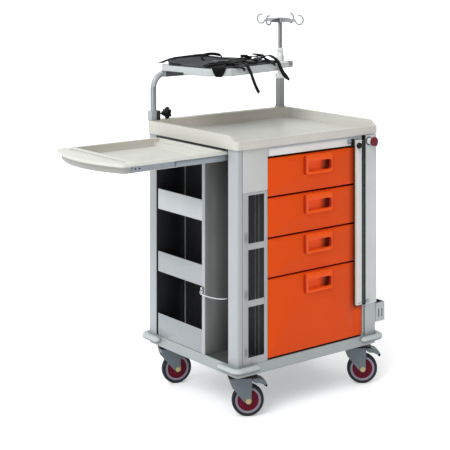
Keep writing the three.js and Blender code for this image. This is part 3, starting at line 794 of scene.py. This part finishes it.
column = moved(prism(grooved(16, 13.5), 1082.8, 1211.5), to=(RIGHT, RAIL_Y, 0))
make("column", column, "alloy", "cabinet", "bridge_column")
collar = moved(prism(rounded(-18, 18, -15.5, 15.5, 6), 1211.3, 1233), to=(RIGHT, RAIL_Y, 0))
make("column_collar", collar, "pale", "cabinet", round_mm=1.5)
foot = moved(prism(rounded(-21, 21, -16, 16, 6), 1082.8, 1088), to=(RIGHT, RAIL_Y, 0))
make("column_foot", foot, "panel", "cabinet", round_mm=1)
clamp_ring = lathe([(9, 1346), (12.5, 1344.5), (15.2, 1339), (15.2, 1334), (12.5, 1328), (9, 1326)], 28)
make("pole_clamp", moved(clamp_ring, to=(RIGHT, RAIL_Y, 0)), "pale", "bridge", smooth=60)


def hook_arm():
    """Blade that tapers outwards and rolls into an open curl."""
    z = 1469.3
    square = ((-1, -1), (1, -1), (1, 1), (-1, 1))
    sections = [(6, 11, 5.5), (24, 10, 5), (44, 8.4, 4.4), (62, 6.6, 4), (78, 5, 3.6)]
    blade = loft([[(x, a * w, z + b * h) for a, b in square] for x, h, w in sections])
    pts = [(68, 0, z), (78, 0, z - 1)]
    pts += [(98 + 20 * math.cos(math.radians(a)), 0, z + 3 + 20 * math.sin(math.radians(a)))
            for a in range(-150, 106, 25)]
    return join(blade, tube(pts, 3.6, 10, 4))


HOOK_TURN = 19
arms = [moved(hook_arm(), spin(HOOK_TURN + 90 * n)) for n in range(4)]
hub = lathe([(0, 1458.3), (10.5, 1458.3), (12, 1460), (12, 1477), (10, 1479.6), (0, 1480)], 28)
hooks = moved(join(hub, *arms), to=(RIGHT, RAIL_Y, 0))
make("hook_head", hooks, "hook", "iv_pole", "iv_hooks", round_mm=0.8)

# ---- upper shelf: mat, straps and buckles ---------------------------------------------------------
# Lengths here are measured from the plate's own pivot, before the plate is turned.
PIVOT, PLATE_TURN = (-60, 279, 0), 12


def on_plate(shape):
    return moved(shape, spin(PLATE_TURN), PIVOT)


PAD_MIDDLE = (-33, -103)
PAD_UNDERSIDE, PAD_LIFT = 1307.6, 15
PAD_RINGS = [(0.6, PAD_UNDERSIDE), (0, 1309.5), (0.8, 1311.3), (3.2, 1312.2), (16, 1312.6), (34, 1312.7),
             (56, 1312.9), (86, 1312.9), (140, 1312.8)]
PAD = [(-244, -200), (-188, -264), (150, -264), (178, -236), (178, 30), (150, 58), (-196, 58), (-236, 18)]


def pad_lift(x, y):
    """The pad stands up towards its back left edge."""
    back, left = (max(0.0, min(1.0, v)) for v in ((y + 45) / 95, (130 - x) / 110))
    return PAD_LIFT * back * back * (3 - 2 * back) * left


def pad_outline():
    """Six points along each side, which stop short of the corners so that these come out soft."""
    points = []
    for (ax, ay), (bx, by) in zip(PAD, PAD[1:] + PAD[:1]):
        for s in range(6):
            t = 0.08 + 0.84 * s / 5
            points.append((ax + (bx - ax) * t, ay + (by - ay) * t))
    return points


def pad_ring(inset, z):
    """The pad's outline at one height, drawn in by inset and slightly uneven."""
    cx, cy = PAD_MIDDLE
    out = []
    for x, y in pad_outline():
        d = math.hypot(x - cx, y - cy)
        k = (d - inset) / d
        wobble = 1.1 * vnoise.noise(Vector((x * 0.02, y * 0.02, 3)))
        px, py = cx + (x - cx) * k + wobble, cy + (y - cy) * k + wobble
        lift = pad_lift(px, py) if z > PAD_UNDERSIDE else 0
        out.append((px, py, z + lift + (0.35 * wobble if inset > 3 else 0)))
    return out


pad = loft([pad_ring(inset, z) for inset, z in PAD_RINGS])
make("pad", on_plate(pad), "mat", "monitor_shelf", "shelf_mat", smooth=60)


def strap(points, width, across=None):
    """Webbing through points (x, y, z and, where it differs, the width); it lies flat without across."""
    rows = []
    for p, t in zip(points, tangents(points)):
        w = Vector(across) if across else t.cross(Vector((0, 0, 1)))
        rows.append((*p[:3], p[3] if len(p) > 3 else width, *w.normalized()))
    return tape(rows, STRAP_THICKNESS)


STRAP_THICKNESS = 2.8
# Directions that a strap's width lies in: along the front edge, along the cut corner, nearly on edge.
X_WAY = (1, 0, 0)
CUT_WAY = (0.667, -0.745, 0)
LEANING = (0.1, 0.6, 0.8)
STRAPS = {
    # the two ends that hang over the front edge
    "strap_hang_long": strap([(-25, -212, 1315), (-52, -243, 1317), (-80, -272, 1315), (-92, -286, 1307),
                              (-80, -291, 1283), (-68, -293, 1256), (-52, -293, 1228), (-31, -294, 1199)],
                             16, X_WAY),
    "strap_hang_short": strap([(58, -226, 1326), (78, -246, 1340), (98, -262, 1336), (112, -281, 1316),
                               (118, -290, 1290), (134, -291, 1268), (152, -292, 1252), (176, -292, 1235, 9)],
                              21, X_WAY),
    # loose tails and the loop that stands up at the back
    "strap_back_tail": strap([(-240, 62, 1316), (-222, 66, 1317), (-204, 64, 1322), (-188, 54, 1328),
                              (-168, 46, 1329)], 22),
    "strap_back_edge": strap([(-200, 44, 1322), (-170, 52, 1328), (-120, 56, 1329), (-60, 56, 1330),
                              (-14, 48, 1332), (20, 38, 1332)], 13, LEANING),
    "strap_back_side": strap([(-176, 52, 1330), (-202, 44, 1327), (-226, 12, 1318), (-232, -40, 1314)], 20),
    "strap_loop": strap([(-60, -24, 1315), (-50, 0, 1321), (-16, 26, 1329), (24, 40, 1333), (52, 26, 1335),
                         (72, 4, 1330), (88, 6, 1321), (104, 16, 1316)], 14, LEANING),
    "strap_loop_return": strap([(12, 50, 1327), (40, 34, 1325), (60, 6, 1322), (84, -10, 1317),
                                (110, -6, 1315)], 17),
    # the cluster on the left, wrapping over the cut corner
    "strap_left_run": strap([(-244, -196, 1315), (-208, -186, 1319), (-160, -192, 1322), (-112, -186, 1318),
                             (-74, -170, 1315)], 22),
    "strap_corner_wrap": strap([(-150, -186, 1320), (-186, -210, 1322), (-214, -233, 1315, 54),
                                (-227, -244.5, 1308, 56), (-228.5, -245.5, 1292, 44),
                                (-227, -244, 1275, 24)], 42, CUT_WAY),
    "strap_left_band": strap([(-236, -192, 1320), (-190, -212, 1324), (-140, -226, 1322),
                              (-100, -228, 1316)], 30),
    "strap_mid_band": strap([(-144, -204, 1321), (-98, -214, 1323), (-56, -216, 1318)], 30),
    "strap_knot": strap([(18, -172, 1317), (42, -150, 1326), (68, -158, 1323), (54, -186, 1317),
                         (26, -180, 1324)], 20),
    "strap_left_fold": strap([(-214, -150, 1314), (-190, -176, 1324), (-150, -214, 1326), (-120, -232, 1316),
                              (-134, -262, 1314), (-160, -278, 1309)], 18),
    # the crossing in the middle and the pile on the right
    "strap_wing": strap([(-60, -158, 1315), (-22, -132, 1320), (20, -106, 1322), (44, -108, 1320),
                         (62, -120, 1316)], 24),
    "strap_middle": strap([(-96, -184, 1316), (-50, -170, 1318), (0, -180, 1320), (40, -160, 1324),
                           (80, -150, 1330), (104, -136, 1322)], 18),
    "strap_right_fold": strap([(24, -118, 1320), (54, -150, 1332), (78, -184, 1334), (104, -192, 1334),
                               (124, -206, 1322), (112, -238, 1316)], 20),
    "strap_right_under": strap([(-30, -250, 1315), (10, -240, 1318), (54, -220, 1328), (90, -214, 1332),
                                (118, -224, 1320)], 19),
    "strap_tail": strap([(60, -246, 1317), (84, -238, 1320), (110, -242, 1318), (124, -262, 1314)], 12),
    "strap_edge_tail": strap([(-160, -262, 1314), (-148, -280, 1312), (-132, -292, 1306), (-126, -296, 1296)],
                             15, X_WAY),
    "strap_tab": strap([(56, -266, 1314), (68, -284, 1312), (78, -294, 1304)], 14, X_WAY),
}
for name, shape in STRAPS.items():
    nodes = ("shelf_strap",) if name == "strap_hang_long" else ()
    make(name, on_plate(shape), "strap", "monitor_shelf", *nodes, smooth=50)


def buckle(x, y, z, turn, tilt=0, length=44, width=28):
    """Side-release buckle: ladder bar, waisted body and the two prongs that show through its sides."""
    a, w = length / 2, width / 2
    outline = [(-a * 0.2, -w), (a * 0.62, -w), (a * 0.8, -w * 0.7), (a, -w * 0.86), (a, w * 0.86),
               (a * 0.8, w * 0.7), (a * 0.62, w), (-a * 0.2, w), (-a * 0.3, w * 0.5), (-a * 0.3, -w * 0.5)]
    chamfered = ((0.9, -4), (0.97, -3.7), (1, -2.9), (1, 2.9), (0.97, 3.7), (0.9, 4))
    body = loft([[(x * k, y * k, h) for x, y in outline] for k, h in chamfered])
    prongs = [prism([(-a * 0.5, s * w * 0.5), (a * 0.3, s * w * 0.98), (a * 0.34, s * w * 1.12),
                     (-a * 0.1, s * w * 1.16), (-a * 0.6, s * w * 0.86)][:: s], -2.6, 2.6) for s in (-1, 1)]
    ladder = [block(-a, -a + 4, -w, w, -3, 3), block(-a + 11, -a + 15, -w, w, -3, 3),
              block(-a, -a + 15, -w, -w + 4, -3, 3), block(-a, -a + 15, w - 4, w, -3, 3)]
    way = spin(turn) @ spin(tilt, "Y")
    return moved(join(body, *prongs, *ladder), way, (x, y, z))


BUCKLES = [(-190, -190, 1328, 20, -6), (-128, -190, 1327, -12, 4), (56, -144, 1336, 40, 10),
           (-12, -232, 1321, 60, -4), (92, -192, 1341, -34, 8), (40, -228, 1329, 12, -8)]
for n, spec in enumerate(BUCKLES):
    make(f"buckle_{n}", on_plate(buckle(*spec)), "buckle", "monitor_shelf")

# Oval rings that join the straps: a slightly bent loop, thickened by growing it and moving it up and down.
LINKS = [(98, -137, 1328, 20), (-169, 60, 1321, -30)]
LINK_SECTION = ((1, -1.8), (1.14, -1.2), (1.2, 0), (1.14, 1.2), (1, 1.8), (0.9, 0))
bent = [(16 * math.cos(a), 10 * math.sin(a), 2.5 * math.sin(2 * a))
        for a in (2 * math.pi * i / 24 for i in range(24))]
link = loft([[(x * k, y * k, z + h) for x, y, z in bent] for k, h in LINK_SECTION], loop=True)
for n, (x, y, z, turn) in enumerate(LINKS):
    make(f"link_{n}", on_plate(moved(link, spin(turn), (x, y, z))), "buckle", "monitor_shelf", smooth=60)

# ---- fixings on the back and the right side -------------------------------------------------------
SCREW_ROWS = (240, 480, 720, 970)
HEAD = [(0, 0), (5.2, 0), (4.4, 1.8), (0, 2.4)]
back_head = lathe([(r, 291.4 + h) for r, h in HEAD], 18, "y")
side_head = lathe([(r, 363.9 + h) for r, h in HEAD], 18, "x")
for n, (x, z) in enumerate([(x, z) for x in (-296, 296) for z in SCREW_ROWS]):
    make(f"back_screw_{n}", moved(back_head, to=(x, 0, z)), "slide", "cabinet")
for n, (y, z) in enumerate([(y, z) for y in (-222, 222) for z in SCREW_ROWS]):
    make(f"side_screw_{n}", moved(side_head, to=(0, y, z)), "slide", "cabinet")

# ---- floor, light, camera -------------------------------------------------------------------------
FLOOR_SIZE, FLOOR_GLOW = 160, 0.2
bpy.ops.mesh.primitive_plane_add(size=FLOOR_SIZE)
floor = bpy.context.object
floor.name = "floor"
paper = material("floor_paper", srgb(247, 247, 248), 0.9, foam, 0.02, specular=0.05, cloud=0.01,
                 cloud_scale=0.6)
paper_inputs = paper.node_tree.nodes["Principled BSDF"].inputs
paper_inputs["Emission Color"].default_value = (1, 1, 1, 1)
paper_inputs["Emission Strength"].default_value = FLOOR_GLOW
floor.data.materials.append(paper)

# Even white studio, a little darker towards the side the drawers face.
SKY_STRENGTH, SKY_SHADED, SHADED_TOWARDS = 1.1, 0.28, (0.616, -0.788, 0.0)
world = bpy.data.worlds.new("studio")
scene.world = world
world.use_nodes = True
sky = world.node_tree
coord = node(sky, "ShaderNodeTexCoord")
toward = node(sky, "ShaderNodeVectorMath", operation="DOT_PRODUCT")
toward.inputs[1].default_value = SHADED_TOWARDS
sky.links.new(coord.outputs["Generated"], toward.inputs[0])
background = sky.nodes["Background"].inputs
feed(sky, spread(sky, toward.outputs["Value"], SKY_STRENGTH, SKY_SHADED, 0.1, 0.95), background["Strength"])
background["Color"].default_value = (1, 1, 1, 1)

KEY_STRENGTH, KEY_SOFTNESS, KEY_FROM = 1.5, 30, (-0.66, -0.3, 0.69)
key = bpy.data.lights.new("key", "SUN")
key.energy = KEY_STRENGTH
key.angle = math.radians(KEY_SOFTNESS)
key_light = bpy.data.objects.new("key", key)
scene.collection.objects.link(key_light)
key_light.rotation_euler = Vector(KEY_FROM).to_track_quat("Z", "Y").to_euler()

CAMERA_AT, CAMERA_TURN = (-3407.0, -4106.9, 1819.8), -38.0
FOCAL_LENGTH, SENSOR = 103.61, 36
SHIFT_ACROSS, SHIFT_DOWN = 0.0017, -0.6308
cam_data = bpy.data.cameras.new("camera")
camera = bpy.data.objects.new("camera", cam_data)
scene.collection.objects.link(camera)
scene.camera = camera
camera.location = at(*CAMERA_AT)
camera.rotation_euler = (math.radians(90), 0, math.radians(CAMERA_TURN))
cam_data.sensor_width = SENSOR
cam_data.lens = FOCAL_LENGTH
cam_data.shift_x = SHIFT_ACROSS
# The lens is shifted down instead of the camera being tilted, so uprights stay upright. When the camera is
# placed anywhere else the shift goes back to none.
drive = cam_data.driver_add("shift_y").driver
drive.type = "SCRIPTED"
height = drive.variables.new()
height.name = "z"
height.type = "TRANSFORMS"
height.targets[0].id = camera
height.targets[0].transform_type = "LOC_Z"
height.targets[0].transform_space = "WORLD_SPACE"
drive.expression = f"{SHIFT_DOWN} if abs(z - {camera.location.z:.5f}) < 0.0001 else 0"
